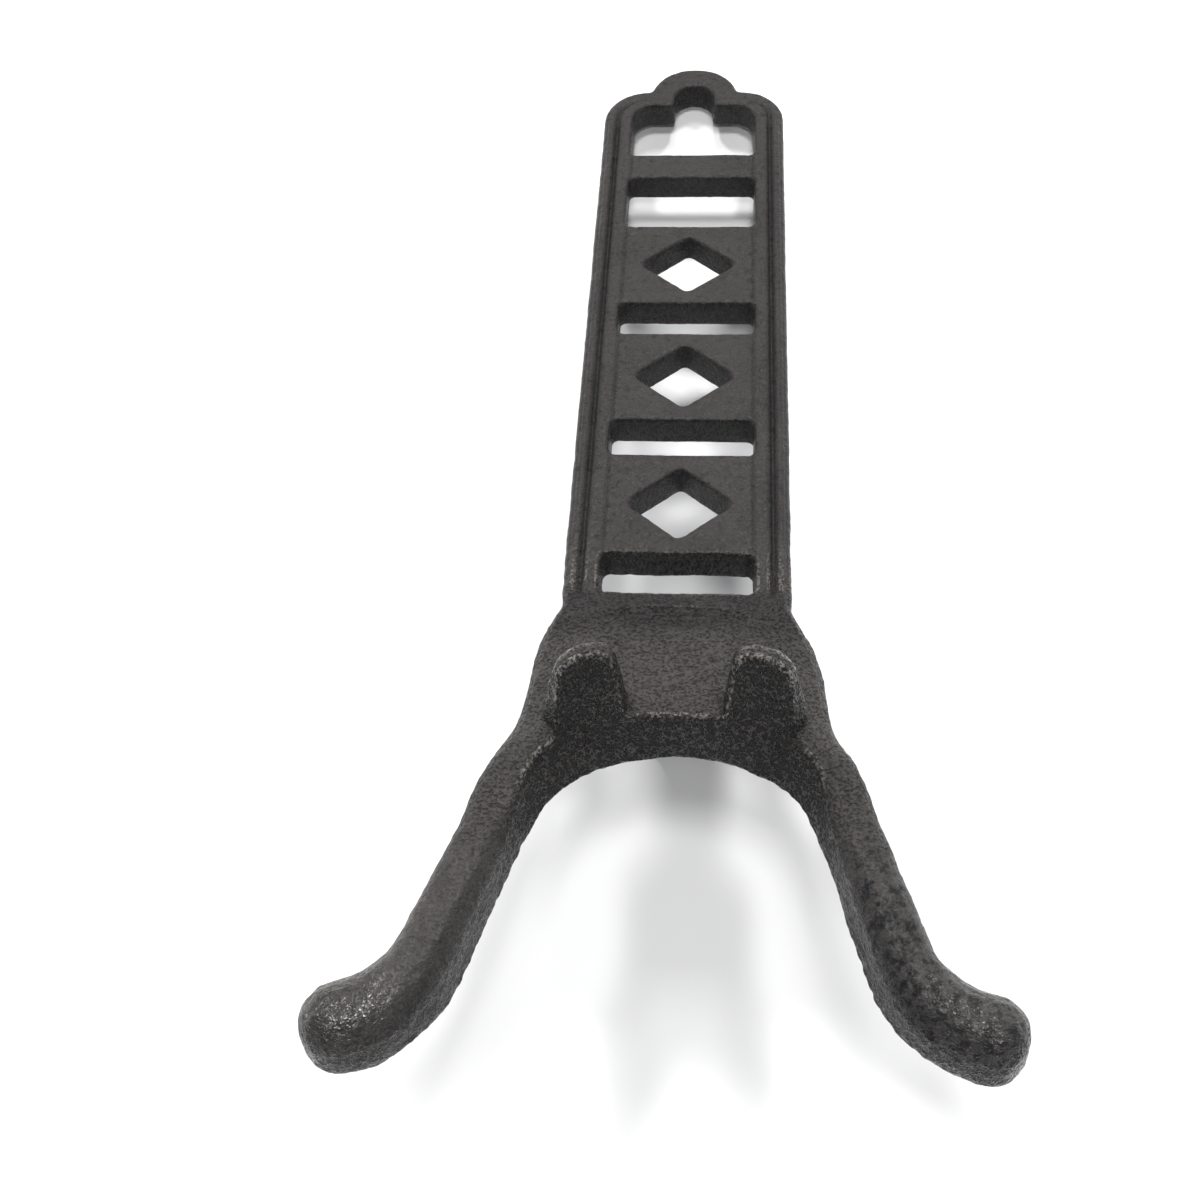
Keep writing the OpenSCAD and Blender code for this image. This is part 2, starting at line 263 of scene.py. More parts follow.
def hanging_eye(x, y):
    """Distance out of the trefoil eye: a round middle foil over a rectangle whose upper corners are the
    side foils."""
    side_y = -shoulder_drop - shoulder_wall - eye_side_r
    mid_y = -lobe_wall - eye_mid_r
    middle = np.minimum(disc(x, y, 0, mid_y, eye_mid_r), box(x, y, eye_mid_r, side_y, mid_y, 0))
    sides = box(x, y, open_half, -eye_len + eye_side_r, side_y + eye_side_r, eye_side_r)
    below = box(x, y, open_half, -eye_len, side_y, eye_corner_r)
    return np.minimum(smooth_min(middle, sides, foil_blend), below)


def piercings(x, y):
    """Distance out of the nearest opening of the plate."""
    nearest = np.minimum(hanging_eye(x, y), box(x, y, open_half, -first_panel, -crossbar_end, slot_r))
    for i in range(panels):
        top = -first_panel - i * panel_pitch
        nearest = np.minimum(nearest, lozenge(x, y, top - panel_len / 2))
        nearest = np.minimum(nearest, box(x, y, open_half, top - panel_pitch, top - panel_len, slot_r))
    return nearest


def underside(y):
    """Height of the underside: it falls evenly along the plate, then eases down to the fork's depth."""
    plate = -tail_t - (neck_t - tail_t) * np.clip(-y / near_end, 0, 1)
    return plate - (fork_t - neck_t) * ease(-y, near_end - 1, near_end + deck_slope_len)


def floor_height(y, z):
    """Height of a point above the floor that the tail's lower edge and the leg's foot rest on."""
    return -y * math.sin(tilt) + (z + tail_t) * math.cos(tilt)


arm_dir = np.array([math.sin(arm_angle), -math.cos(arm_angle)])
arm_out = np.array([math.cos(arm_angle), math.sin(arm_angle)])
bend_len = bend_r * bend_angle


def throat_arcs(edge_y, mid_r, corner_r):
    """Centres of the throat's middle and corner arcs, the angle where they meet, and the arm's root."""
    turn = math.asin(throat_half / mid_r)
    mid_c = np.array([0, edge_y - mid_r])
    corner_c = mid_c + (mid_r - corner_r) * np.array([math.sin(turn), math.cos(turn)])
    root = corner_c + corner_r * arm_out
    return mid_c, corner_c, turn, root


arm_root = throat_arcs(-throat_y - throat_draft, *throat_low)[3]
arm_axis = arm_root + arm_out * arm_w / 2
bend_c = arm_axis + arm_len * arm_dir + bend_r * arm_out


def along_arm(x, y):
    """Places by the arm's centre line, a straight run and then an arc: s along it, n outwards from it, and
    how far the point lies past its end."""
    ax, ay = x - arm_axis[0], y - arm_axis[1]
    s = ax * arm_dir[0] + ay * arm_dir[1]
    n = ax * arm_out[0] + ay * arm_out[1]
    bx, by = x - bend_c[0], y - bend_c[1]
    across, ahead = -(bx * arm_out[0] + by * arm_out[1]), bx * arm_dir[0] + by * arm_dir[1]
    turn = np.clip(np.arctan2(ahead, across), 0, bend_angle)
    # Past the arc's end the places run on in its last direction
    last_ahead = ahead * math.cos(bend_angle) - across * math.sin(bend_angle)
    last_across = across * math.cos(bend_angle) + ahead * math.sin(bend_angle)
    ended = last_ahead > 0
    bent = s > arm_len
    n = np.where(bent, np.where(ended, bend_r - last_across, bend_r - np.hypot(across, ahead)), n)
    s = np.where(bent, arm_len + bend_r * turn, s)
    return s, n, np.where(bent & ended, last_ahead, 0.0)


arm_end = arm_len + bend_len
arm_stops = (-14, 0, 12, arm_len, arm_len + 12, arm_end)
arm_halves = (5.3, 5.8, 5.2, 5.6, 6.7, 7.0)
# Where along the arm its back swells from slim to full width
back_swell = (-8, 7)
# Edge radii at places along the arm: upper outer edge, upper edge of the mouth, and lower edges
outer_round = (-50, -24, -2, 10, arm_len, arm_end - 8), (1.1, 2.4, 2.6, 3.0, 3.2, 4.6)
inner_round = (-4, 12, arm_len, arm_end - 8), (1.1, 3.3, 3.6, 5.0)
low_round = (-30, -10, arm_len, arm_end - 8), (0.6, 1.0, 1.4, 3.4)
TINY = 1e-9


def throat_side(x, y, s, n, past_end, edge_y, mid_r, corner_r, shift):
    """Distance into the mouth from the throat's outline: out of the iron through a wide middle arc, a
    corner arc, then the arm's own mouth side, each in its own sector."""
    mid_c, corner_c, turn, root = throat_arcs(edge_y, mid_r, corner_r)
    mid = mid_r - np.hypot(x - mid_c[0], y - mid_c[1])
    corner = corner_r - np.hypot(x - corner_c[0], y - corner_c[1])
    half = eased(s, arm_stops, arm_halves) - shift
    # The arm's run starts where the corner arc ends, and slides over to the arm's own half width
    root_n = (root - arm_axis) @ arm_out
    root_s = (root - arm_axis) @ arm_dir
    half = half + (-root_n - half) * (1 - ease(s, root_s, root_s + root_blend))
    # Round the tip the slope dies out from the mouth side to the back
    reach = np.hypot(n, past_end)
    backward = (1 + n / np.maximum(reach, TINY)) / 2
    run = np.where(past_end > 0, reach - shift * backward, -n) - half
    in_mid = np.arctan2(x - mid_c[0], y - mid_c[1]) < turn
    in_corner = s < root_s
    return np.where(in_corner, np.where(in_mid, mid, corner), run)


def inner_side(x, y, z, s, n, past_end):
    """Distance out of the iron into the fork's mouth. The wall slopes from the lower outline to the upper
    one, and above the deck it leans back along the lugs."""
    on_tip = ease(s, arm_len - 4, arm_end)
    low = throat_side(x, y, s, n, past_end, -throat_y - throat_draft, *throat_low, -tip_flare * on_tip)
    low = low + root_hollow * np.exp(-((s - root_hollow_at) / root_hollow_len) ** 2)
    high = throat_side(x, y, s, n, past_end, -throat_y, *throat_high, arm_slope + tip_slope * on_tip)
    rise = np.clip(z / fork_t + 1, 0, 1)
    return low + (high - low) * rise + lug_lean * np.maximum(z, 0)


def outer_side(x, y, z, s, n, past_end):
    """Distance out of the iron on its outer side: the plate's edge, the flank, which bulges and leans in
    towards its top, and the arm's back."""
    share = (-y - flank_start) / flank_len
    share = np.minimum(0.5 * (share + np.sqrt(share * share + flank_soft)), 1)
    flank = (x - plate_half - flank_bulge * (1 - (1 - share) ** flank_swell)) * side_slant
    flank = flank + flank_lean * np.maximum(z + neck_t, 0)
    half = eased(s, arm_stops, arm_halves)
    back = np.where(past_end > 0, np.hypot(n, past_end), n) - half + back_slim * (1 - ease(s, *back_swell))
    deck = fillet(flank, back, flank_fillet)
    return smooth_min(plate_outline(x, y), np.maximum(deck, y + flank_start - flank_overlap), flank_blend)


def top_height(x, y, edge, s, n):
    """Height of the upper skin: beaded and grooved rails, sunk panels, a crowned deck and crowned arms."""
    depth = -edge
    bead = bead_h * np.clip(1 - ((depth - bead_at) / bead_half) ** 2, 0, 1)
    rim = bead - bead_h - groove_d * np.exp(-((depth - groove_at) / groove_half) ** 2)
    rim = rim + bead_h * ease(depth, groove_at, groove_at + groove_climb)
    plate = rim * (1 - ease(-y, near_end - 3, near_end + 3)) * ease(-y, shoulder_drop, eye_len - 8)
    rungs = ease(-y, eye_len - 1, eye_len + 1) * (1 - ease(-y, near_end - 1, near_end + 1))
    plate = plate - panel_drop * ease(open_half - x, -0.3, 0.7) * rungs
    field = ease(-y, near_end + 0.6, near_end + 5.2) * (1 - ease(s, -16, -3))
    sink = np.clip(1 - (x / sink_size[0]) ** 2 - ((y + sink_y) / sink_size[1]) ** 2, 0, 1)
    # The sink's rim is sharper on its side towards the tail
    bowl = sink_depth * sink ** (1.3 - 0.5 * ease(y + sink_y, -1.5, 1.5))
    hump = hump_h * np.exp(-((x - plate_half + hump_in) ** 2 + (y + near_end + hump_back) ** 2) / hump_spread)
    crown = deck_crown * np.maximum(x - crown_from, 0) ** 2 * field
    arm = arm_crown * n * n * ease(s, -4, 8)
    return plate + deck_rise * field - bowl + hump - crown - arm


def heel_lug(x, z, inner):
    """Distance out of a lug: tapered sides, a top that falls outwards, and a back that thins towards the
    top. Depth is counted back from the mouth side."""
    depth = -inner
    inward = lug_in + lug_in_taper * z - x
    # Towards its root the lug spreads outwards, the more the further back
    spread = lug_spread * np.clip(depth, 0, lug_spread_depth) * (1 - ease(z, 4, 22) * 0.6)
    outward = x - (lug_in + lug_w) + lug_out_taper * z - spread
    top = (z - lug_h + lug_top_fall * (x - lug_mid)) * lug_top_slant
    back = depth - lug_foot_t + (lug_foot_t - lug_t) * np.clip(z / lug_h, 0, 1)
    face = np.maximum(round_edge(inward, top, lug_in_r), round_edge(outward, top, lug_out_r))
    return round_edge(face, back, lug_back_r)


def leg_side(x, y, z):
    """Distance out of the leg: a tongue with hollow flanks that widen with the square of the height."""
    foot_z = leg_y * math.tan(tilt) + tail_t
    climb = np.clip((z + foot_z) / (foot_z - fork_t), 0, 1)
    flank = (x - leg_foot_half - (leg_root_half - leg_foot_half) * climb * climb) * side_slant
    slab = np.abs(y + leg_y) - leg_t / 2
    tongue = round_edge(round_edge(flank, slab, leg_edge_r), z + leg_top, leg_end_r)
    return round_edge(tongue, -floor_height(y, z), leg_end_r)


def as_cast(x, y):
    """Place on the pattern of a point of the fork, which came out longer, skewed and moved sideways."""
    throat_move = throat_shift * ease(-y, flank_start, near_end + 20)
    tip_move = tip_shift * ease(-y, throat_y + 6, throat_y + 46)
    stretch = fork_stretch * np.maximum(-y - throat_y, 0)
    skew = fork_skew * x * ease(-y, flank_start, throat_y + 18)
    return x - throat_move + tip_move, y + stretch - skew


def casting(x, y, z):
    """Distance out of the whole jack. Sides, top and underside are distances of their own, and the edges
    between them are rounded to the radii that each stretch has."""
    x, y = as_cast(x, y)
    right = x > 0
    x = np.abs(x)
    s, n, past_end = along_arm(x, y)
    slim = right_arm_slim * right * ease(s, -2, 14)
    root_slim = right_root_slim * right * ease(s, -30, -12) * (1 - ease(s, 4, 14))
    outer = outer_side(x, y, z, s, n, past_end) + slim + root_slim
    hole = -piercings(x, y)
    inner = inner_side(x, y, z, s, n, past_end) + slim
    top = z - top_height(x, y, plate_outline(x, y), s, n)
    low = underside(y) - z
    draft = pattern_draft * (low + fork_t / 2)
    iron_top = fillet(top, heel_lug(x, z, inner), lug_fillet)
    # The outer side has less draft than the openings
    body = round_edge(outer - 0.4 * draft, iron_top, eased(s, *outer_round))
    body = np.maximum(body, round_edge(inner, iron_top, eased(s, *inner_round)))
    body = np.maximum(body, round_edge(hole - draft, iron_top, opening_edge_r))
    body = round_edge(body, low, eased(s, *low_round))
    return fillet(body, leg_side(x, y, z), leg_fillet)


# Unevenness of the sand mould: each level's wave length, height and number of waves
mould_levels = ((15.0, 0.07, 10), (6.0, 0.035, 16), (2.6, 0.04, 40), (1.5, 0.022, 60))
plate_rough = 0.4
low_rough = 0.3
rng = np.random.default_rng(7)
mould_waves = []
for length, height, count in mould_levels:
    heading = rng.normal(size=(3, count))
    heading /= np.linalg.norm(heading, axis=0)
    lengths = length * rng.uniform(0.7, 1.3, count)
    phases = rng.uniform(0, 2 * np.pi, count)
    mould_waves.append((heading * 2 * np.pi / lengths, phases, height * math.sqrt(2 / count)))


def unevenness(points):
    """Height of the cast skin over the pattern's: sines in random directions, rougher towards the fork
    and low down on it."""
    rough = plate_rough + (1 - plate_rough) * ease(-points[:, 1], near_end - 40, near_end + 8)
    low_down = low_rough * ease(-points[:, 2], 8, 13)
    rough = rough * (1 + low_down * ease(-points[:, 1], near_end + 10, throat_y))
    total = 0
    for heading, phase, height in mould_waves:
        total = total + height * np.sin(points @ heading + phase).sum(1)
    return total * rough


def skin_level(points):
    """Distance of points out of the uneven skin."""
    return casting(points[:, 0], points[:, 1], points[:, 2]) - unevenness(points)


def gradient(points, step=0.04):
    """Slope of the distance, by central differences."""
    slopes = [skin_level(points + step * axis) - skin_level(points - step * axis) for axis in np.eye(3)]
    return np.stack(slopes, 1) / (2 * step)


CELL = 0.42
MARGIN = 2
SETTLE_STEPS = 3
CORNERS = np.array([[i, j, k] for i in (0, 1) for j in (0, 1) for k in (0, 1)])
CELL_EDGES = [(a, b) for a in range(8) for b in range(a + 1, 8) if abs(CORNERS[a] - CORNERS[b]).sum() == 1]


def cell_points(level, cells, start):
    """First places of the skin's points: in each cell the mean of the points where the level crosses its
    edges, or the cell's middle where none does."""
    at = [level[tuple((cells + corner).T)] for corner in CORNERS]
    total = np.zeros((len(cells), 3))
    count = np.zeros(len(cells))
    for a, b in CELL_EDGES:
        crossed = (at[a] < 0) != (at[b] < 0)
        share = np.where(crossed, at[a] / np.where(crossed, at[a] - at[b], 1), 0)
        total += crossed[:, None] * (CORNERS[a] + share[:, None] * (CORNERS[b] - CORNERS[a]))
        count += crossed
    on_skin = count > 0
    inside = np.where(on_skin[:, None], total / np.maximum(count, 1)[:, None], 0.5)
    return (start + cells + inside) * CELL, on_skin


def settle(points):
    """Points moved onto the uneven skin along the slope of the distance, at most half a cell a step."""
    for _ in range(SETTLE_STEPS):
        slope = gradient(points)
        step = skin_level(points)[:, None] * slope / (slope * slope).sum(1)[:, None]
        length = np.linalg.norm(step, axis=1)[:, None]
        points = points - step * np.minimum(1, CELL / 2 / np.maximum(length, TINY))
    slope = gradient(points)
    return points, slope / np.linalg.norm(slope, axis=1)[:, None]


def curvature(points, reach=0.7):
    """Curvature of the pattern's skin per millimetre, above 0 on an edge and below 0 in a crease: six
    distances taken about a point, less six times its own, over the square of their reach."""
    around = [casting(*(points + way).T) for way in reach * np.concatenate([np.eye(3), -np.eye(3)])]
    return (sum(around) - 6 * casting(*points.T)) / reach ** 2


def to_row(points, turn_only=False):
    """Plate frame to row frame: turned by the plate's tilt, with the origin moved amid the footprint."""
    c, s = math.cos(tilt), math.sin(tilt)
    turned = points @ np.array([[1, 0, 0], [0, c, -s], [0, s, c]])
    return turned if turn_only else (turned + [0, stand_y, tail_t * c]) * MM


def member_mesh(name, low, high, inside):
    """Mesh of one member: the zero level of the casting in the member's own box of cells. A face crosses
    each grid edge that leaves the member, either through the skin or into a neighbour."""
    start = np.floor(np.array(low) / CELL).astype(int) - MARGIN
    size = np.ceil(np.array(high) / CELL).astype(int) + MARGIN + 1 - start
    x, y, z = (CELL * (start[a] + np.arange(size[a])).reshape([-1 if a == b else 1 for b in range(3)])
               for a in range(3))
    level = np.broadcast_to(casting(x, y, z), size).astype(np.float32)
    iron = level < 0
    kept = iron & np.broadcast_to(inside(x, y, z), size)
    quads, crossing = [], []
    for a in range(3):
        b, c = (a + 1) % 3, (a + 2) % 3
        near = [slice(1, -1)] * 3
        near[a] = slice(0, -1)
        far = list(near)
        far[a] = slice(1, None)
        for outward in (False, True):
            one, two = (kept[tuple(near)], kept[tuple(far)])
            found = (one & ~two) if outward else (~one & two)
            spots = np.argwhere(found)
            spots += [1 if d != a else 0 for d in range(3)]
            step_b, step_c = np.eye(3, dtype=int)[b], np.eye(3, dtype=int)[c]
            ring = [spots - step_b - step_c, spots - step_c, spots, spots - step_b]
            quads.append(np.stack(ring if outward else ring[::-1], 1))
            ahead = np.eye(3, dtype=int)[a]
            crossing.append(iron[tuple(spots.T)] & iron[tuple((spots + ahead).T)])
    quads = np.concatenate(quads)
    cap = np.concatenate(crossing)
    flat = np.ravel_multi_index(tuple(quads.reshape(-1, 3).T), size - 1)
    used, index = np.unique(flat, return_inverse=True)
    faces = index.reshape(-1, 4)
    cells = np.stack(np.unravel_index(used, size - 1), 1)
    points, on_skin = cell_points(level, cells, start)
    normals = np.zeros_like(points)
    points[on_skin], normals[on_skin] = settle(points[on_skin])
    turns = np.zeros(len(points))
    turns[on_skin] = curvature(points[on_skin])
    across = np.cross(points[faces[:, 2]] - points[faces[:, 0]], points[faces[:, 3]] - points[faces[:, 1]])
    across /= np.maximum(np.linalg.norm(across, axis=1), 1e-12)[:, None]
    # Seams are shaded flat, and the skin by the slope of its distance
    off_skin = (cap[:, None] | ~on_skin[faces])[:, :, None]
    corner_normals = np.where(off_skin, across[:, None, :], normals[faces])

    mesh = bpy.data.meshes.new(name)
    mesh.vertices.add(len(points))
    mesh.vertices.foreach_set("co", to_row(points).ravel())
    mesh.loops.add(faces.size)
    mesh.loops.foreach_set("vertex_index", faces.ravel().astype(np.int32))
    mesh.polygons.add(len(faces))
    mesh.polygons.foreach_set("loop_start", np.arange(0, faces.size, 4, dtype=np.int32))
    mesh.update(calc_edges=True)
    mesh.shade_smooth()
    mouthward = np.maximum(-normals[:, 1], -normals[:, 0] * np.sign(points[:, 0]))
    for label, values in (("edge", turns), ("upward", normals[:, 2]), ("mouthward", mouthward)):
        mesh.attributes.new(label, "FLOAT", "POINT").data.foreach_set("value", values.astype(np.float32))
    mesh.normals_split_custom_set(to_row(corner_normals.reshape(-1, 3), turn_only=True))
    return mesh


# How far the plate's end, at its top, lies from amid the footprint. The solid reaches furthest just under
# its bevel
stand_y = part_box("tail_arch")[1].y / MM + edge_bevel * math.sin(tilt)

# Members: box of cells in the plate frame, and which of its points belong
deck_z = (-16, 1.6)
plate_z = (-9.5, 0.6)
deck_half = 40
deck_end_y = -217
arm_seam_y = -throat_y - 4
arm_span = (arm_root[0] - 2, 55)
arm_y = (-250, -203)
tip_span = (30, 68)
tip_y = (-275, -230)
lug_span = (4, 27.5)
lug_reach = 12
lug_seam_z = 0.9
leg_half = 22
leg_reach = 9
leg_seam_drop = 0.1


def between(y, near, far):
    return (y <= -near) & (y > -far)


def on_arm(start, end, side):
    """Points whose place along the arm of that side lies between start and end."""
    def inside(x, y, z):
        pattern_x, pattern_y = as_cast(x, y)
        s = along_arm(np.abs(pattern_x), pattern_y)[0]
        return (s > start) & (s <= end) & (x * side > 0) & (y < arm_seam_y)
    return inside


def is_lug(x, y, z, side):
    out = x * side
    return (z > lug_seam_z) & (out > lug_span[0]) & (out < lug_span[1]) & (y < -throat_y + lug_reach)


def is_leg(x, y, z):
    under = z < underside(y) - leg_seam_drop
    return under & (y > -leg_y - leg_reach) & (y < -leg_y + leg_reach) & (np.abs(x) < leg_half)


def deck_inside(x, y, z):
    pattern_x, pattern_y = as_cast(x, y)
    arms = (along_arm(np.abs(pattern_x), pattern_y)[0] > 0) & (y < arm_seam_y)
    lugs = is_lug(x, y, z, 1) | is_lug(x, y, z, -1)
    return (y <= -near_end) & ~arms & ~lugs & ~is_leg(x, y, z)


def rung(near, far):
    return lambda x, y, z: (np.abs(x) < open_half) & between(y, near, far)


def rung_box(near, far):
    return (-open_half, -far, plate_z[0]), (open_half, -near, plate_z[1])


half_slot = slot_len / 2
members = {"tail_arch": ((-plate_half - 1, -eye_len, plate_z[0]), (plate_half + 1, 1, plate_z[1]),
                         lambda x, y, z: y > -eye_len)}
members["tail_crossbar"] = (*rung_box(eye_len, crossbar_end + window_len / 2),
                            rung(eye_len, crossbar_end + window_len / 2))
for i, name in enumerate(("tail_panel", "middle_panel", "near_panel")):
    near = first_panel + i * panel_pitch - (window_len / 2 if i == 0 else half_slot)
    far = near_end if i == panels - 1 else first_panel + i * panel_pitch + panel_len + half_slot
    members[name] = (*rung_box(near, far), rung(near, far))
for name, side in (("left", -1), ("right", 1)):
    reach = sorted((side * open_half, side * (plate_half + 1.5)))
    members[name + "_rail"] = (
        (reach[0], -near_end, plate_z[0]), (reach[1], -eye_len, plate_z[1]),
        lambda x, y, z, side=side: (x * side >= open_half) & between(y, eye_len, near_end))
    reach = sorted(side * x for x in lug_span)
    members[name + "_heel_lug"] = (
        (reach[0], -throat_y - lug_reach, lug_seam_z), (reach[1], -throat_y + lug_reach, lug_h + 1),
        lambda x, y, z, side=side: is_lug(x, y, z, side))
    reach = sorted(side * x for x in arm_span)
    members[name + "_arm"] = (
        (reach[0], arm_y[0], deck_z[0]), (reach[1], arm_y[1], deck_z[1]), on_arm(0, arm_len, side))
    reach = sorted(side * x for x in tip_span)
    members[name + "_arm_tip"] = (
        (reach[0], tip_y[0], deck_z[0]), (reach[1], tip_y[1], deck_z[1]), on_arm(arm_len, math.inf, side))
members["neck_deck"] = ((-deck_half, deck_end_y, deck_z[0]), (deck_half, -near_end, deck_z[1]), deck_inside)
members["leg"] = (
    (-leg_half, -leg_y - leg_reach, -leg_h - 2), (leg_half, -leg_y + leg_reach, -neck_t), is_leg)

pieces = []
for name, (low, high, inside) in members.items():
    piece = bpy.data.objects.new("cast_" + name, member_mesh(name, low, high, inside))
    bpy.context.scene.collection.objects.link(piece)
    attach(piece, "root")
    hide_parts(name)
    pieces.append(piece)


class Signal:
    """One socket of a material. Arithmetic on it adds Math nodes, and node() adds any other node."""

    def __init__(self, tree, socket=None):
        self.tree, self.socket = tree, socket

    def node(self, kind, settings=(), inputs=(), output=0):
        """Output of a new node. Its settings come first, then the values or links of its sockets."""
        made = self.tree.nodes.new(kind)
        for name, value in dict(settings).items():
            setattr(made, name, value)
        for name, value in dict(inputs).items():
            if isinstance(value, Signal):
                self.tree.links.new(value.socket, made.inputs[name])
            else:
                made.inputs[name].default_value = value
        return Signal(self.tree, made.outputs[output])

    def math(self, operation, *values):
        return self.node("ShaderNodeMath", {"operation": operation}, dict(enumerate(values)))

    def __add__(self, other):
        return self.math("ADD", self, other)

    __radd__ = __add__

    def __sub__(self, other):
        return self.math("SUBTRACT", self, other)

    def __rsub__(self, other):
        return self.math("SUBTRACT", other, self)

    def __mul__(self, other):
        return self.math("MULTIPLY", self, other)

    __rmul__ = __mul__

    def __abs__(self):
        return self.math("ABSOLUTE", self)

    def between(self, start, end):
        """0 below start, 1 above end, and a smooth step in between."""
        return self.node("ShaderNodeMapRange", {"interpolation_type": "SMOOTHSTEP"},
                         {"Value": self, "From Min": start, "From Max": end})

    def mix(self, one, two):
        """Colour one where this is 0, colour two where it is 1."""
        return self.node("ShaderNodeMix", {"data_type": "RGBA"}, {0: self, 6: one, 7: two}, output=2)


def noise(place, size, detail=2.0, roughness=0.5, stretch=(1, 1, 1)):
    """Cloudy pattern whose blobs are about the given size in millimetres, longer along stretched axes."""
    scaled = place.node("ShaderNodeMapping", inputs={"Vector": place, "Scale": [1 / s for s in stretch]})
    return place.node("ShaderNodeTexNoise", inputs={
        "Vector": scaled, "Scale": 1 / (size * MM), "Detail": detail, "Roughness": roughness})


paint_brown = (0.040, 0.0372, 0.035, 1)
worn_brown = (0.050, 0.046, 0.0435, 1)
black_paint_and_shade = (0.007, 0.007, 0.008, 1)
gloss_grey = (0.13, 0.125, 0.12, 1)
bare_iron_and_glint = (0.22, 0.205, 0.19, 1)
paint_roughness = 0.38
paint_specular = 0.25
# Where the finish changes in the row frame, in metres: starts of fork, arms, right arm's blots and tips, and
# the two ends of the painted shade along the deck's sink
fork_start = (-0.045, -0.02)
arms_start = (-0.098, -0.080)
blots_start = (0.027, 0.038)
tips_start = (0.041, 0.050)
sink_shade_near = (-0.048, -0.044)
sink_shade_far = (-0.038, -0.034)


def painted_iron():
    """Brown-black paint over sand-cast iron: mottled colour, painted shade in pits, folds, creases, a band by
    the mouth and along the sink, glossy tips and bare flecks with painted glint. Paint and a dull black that
    stands for shade are mixed by how hollow the skin is."""
    made = bpy.data.materials.new("painted_cast_iron")
    made.use_nodes = True
    tree = made.node_tree
    tree.nodes.clear()
    start = Signal(tree)
    place = start.node("ShaderNodeTexCoord", output=3)
    across = start.node("ShaderNodeSeparateXYZ", inputs={"Vector": place}, output=0)
    along = start.node("ShaderNodeSeparateXYZ", inputs={"Vector": place}, output=1)
    edge, upward, mouthward = (start.node("ShaderNodeAttribute", {"attribute_name": label}, output=2)
                               for label in ("edge", "upward", "mouthward"))
    fork = 1 - along.between(*fork_start)
    arms = 1 - along.between(*arms_start)
    top = upward.between(0.45, 0.8)
    wall = 1 - top
    # Painted shade: a dark band where the arms round over into the mouth, found by which way the skin faces
    mouth_edge_shade = mouthward.between(0.1, 0.4) * (1 - mouthward.between(0.6, 0.85)) * arms
    # Pits on the top, and on the walls a net of folds, drawn out along the height because the camera sees
    # the walls at a slant
    skin = start.node("ShaderNodeMapping", inputs={"Vector": place, "Scale": (1, 1, 0.5)})
    grain = noise(skin, 0.6, detail=2.0)
    pits = noise(place, 0.48, detail=2.0, stretch=(1.4, 1, 1)).between(0.46, 0.68)
    swell = noise(place, 1.3, detail=2.0) - 0.5
    folds = noise(skin, 0.85, detail=1.5) - 0.5
    furrow = abs(folds).between(0.0, 0.12)
    # How hollow the skin is, in pits on the top and folds on the walls: rougher there, and painted shade
    # below
    hollow = (top * pits + wall * furrow) * (1 - 0.5 * arms) * (0.25 + 0.75 * fork)
    patches = noise(place, 14.0, detail=3.0)
    specks = noise(place, 1.6, detail=3.0, roughness=0.6)
    # The right arm's dark blots, the tips' gloss and painted shade along the deck's sink
    blots = specks.between(0.43, 0.57) * across.between(*blots_start) * arms
    tips = abs(across).between(*tips_start) * arms
    gloss = tips * top * specks.between(0.40, 0.52) * (1 - blots * 0.8)
    strip = along.between(*sink_shade_near) * (1 - along.between(*sink_shade_far)) * top
    colour = patches.between(0.35, 0.65).mix(paint_brown, worn_brown)
    # Darkening: random specks and the right arm's blots in the paint itself; painted shade in creases, along
    # the sink and in the band by the mouth; and the plate away from the fork darker overall
    dark_and_shade = (specks.between(0.52, 0.72) * 0.35 + (edge * -1).between(0.1, 0.6) * 0.3
            + blots * 0.7 + strip * 0.4 + mouth_edge_shade * 0.4 + (1 - fork) * 0.42)
    colour = dark_and_shade.mix(colour, black_paint_and_shade)
    colour = (gloss * 0.6).mix(colour, gloss_grey)
    # Flecks on the fork's convex edges: partly bare iron rubbed by boots and floors, partly painted glint,
    # lighter and more metallic than the paint
    bare_and_glint = edge.between(0.5, 0.85) * fork * grain.between(0.47, 0.58) * (1 - strip * 0.8)
    colour = bare_and_glint.mix(colour, bare_iron_and_glint)
    rough = paint_roughness - wall * fork * 0.08 + 0.12 * (patches - 0.5) + 0.12 * (specks - 0.5)
    rough = rough + hollow * 0.1 - tips * 0.2 - blots * 0.06
    rounds = swell * (0.5 + 0.5 * tips) + (grain - 0.5) * 0.6 * (1 - tips) - pits * 0.22
    relief = top * rounds * (1 - 0.6 * arms) - wall * furrow * 0.45 * (1 - 0.5 * arms)
    relief = relief * (0.3 + 0.7 * fork)
    bump = start.node("ShaderNodeBump", inputs={"Strength": 1.0, "Distance": MM, "Height": relief})
    paint = start.node("ShaderNodeBsdfPrincipled", inputs={
        "Base Color": colour, "Roughness": rough, "Metallic": bare_and_glint * 0.6 + gloss * 0.7,
        "Specular IOR Level": paint_specular, "Normal": bump})
    pit_shade_black = start.node("ShaderNodeBsdfPrincipled", inputs={
        "Base Color": black_paint_and_shade, "Roughness": 1.0, "Specular IOR Level": 0.0, "Normal": bump})
    # Painted shade: the pits on the top and the folds on the walls take on the dull black
    pit_shade = hollow * (0.5 + wall * 0.15) * (1 - bare_and_glint)
    shader = start.node("ShaderNodeMixShader", inputs={0: pit_shade, 1: paint, 2: pit_shade_black})
    out = tree.nodes.new("ShaderNodeOutputMaterial")
    tree.links.new(shader.socket, out.inputs["Surface"])
    return made


iron = painted_iron()
for piece in pieces:
    piece.data.materials.append(iron)

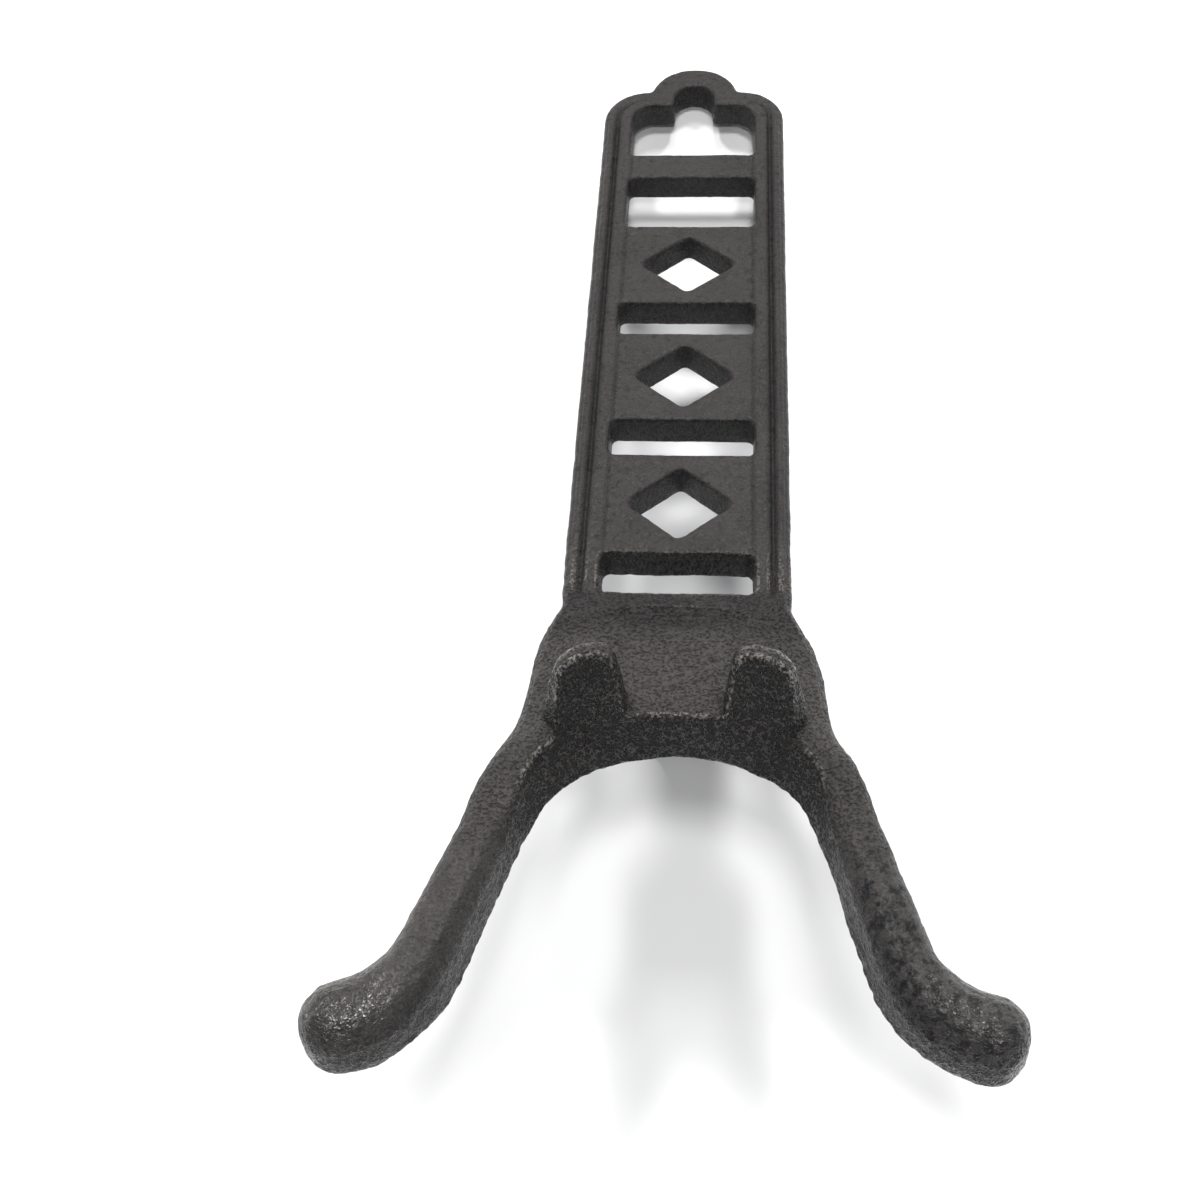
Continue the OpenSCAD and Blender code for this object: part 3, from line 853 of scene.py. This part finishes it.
# Floor and light
floor_colour = (0.78, 0.78, 0.785, 1)
floor_roughness = 0.6
floor_half = 4.0
floor_mat = bpy.data.materials.new("pale_floor")
floor_mat.use_nodes = True
floor_shader = floor_mat.node_tree.nodes["Principled BSDF"]
floor_shader.inputs["Base Color"].default_value = floor_colour
floor_shader.inputs["Roughness"].default_value = floor_roughness
floor_mesh = bpy.data.meshes.new("floor")
floor_mesh.from_pydata([(-floor_half, -floor_half, 0), (floor_half, -floor_half, 0),
                        (floor_half, floor_half, 0), (-floor_half, floor_half, 0)], [], [(0, 1, 2, 3)])
floor_mesh.materials.append(floor_mat)
floor = bpy.data.objects.new("floor", floor_mesh)
bpy.context.scene.collection.objects.link(floor)


def softbox(name, place, aim, size, power, colour=(1, 1, 1), shines=True):
    """Oblong area light at a place, facing its aim. One that doesn't shine isn't mirrored in the iron."""
    light = bpy.data.lights.new(name, "AREA")
    light.shape = "RECTANGLE"
    light.size, light.size_y = size
    light.energy, light.color = power, colour
    made = bpy.data.objects.new(name, light)
    made.location = place
    made.rotation_mode = "QUATERNION"
    made.rotation_quaternion = (Vector(aim) - Vector(place)).to_track_quat("-Z", "Y")
    made.visible_glossy, made.visible_camera = shines, False
    bpy.context.scene.collection.objects.link(made)


# Places in metres, powers in watts
jack = (0, 0, 0.03)
window_size = (0.32, 0.32)
ceiling_size = (0.64, 0.64)
lamp_size = (0.2, 0.2)
room_size = (1.2, 0.6)
room_tint = (0.95, 0.98, 1)
window_power = 36
room_power = 8
surround_strength = 0.15
softbox("left_window", (-0.874, 1.576, 1.582), jack, window_size, window_power, shines=False)
softbox("right_window", (0.587, 1.704, 1.582), jack, window_size, window_power, shines=False)
softbox("skylight", (-0.08, 1.5, 1.78), jack, window_size, 15)
softbox("ceiling", (0.08, 0.16, 2.4), jack, ceiling_size, 25)
softbox("lamp", (0.08, -1.12, 2.06), jack, lamp_size, 13)
softbox("left_room", (-1.7, 0.5, 0.45), jack, room_size, room_power, room_tint)
softbox("right_room", (1.7, 0.5, 0.45), jack, room_size, room_power, room_tint)
world = bpy.data.worlds.new("room")
world.use_nodes = True
surround = world.node_tree.nodes["Background"]
surround.inputs["Color"].default_value = (1, 1, 1, 1)
surround.inputs["Strength"].default_value = surround_strength
bpy.context.scene.world = world
bpy.context.scene.view_settings.view_transform = "Standard"
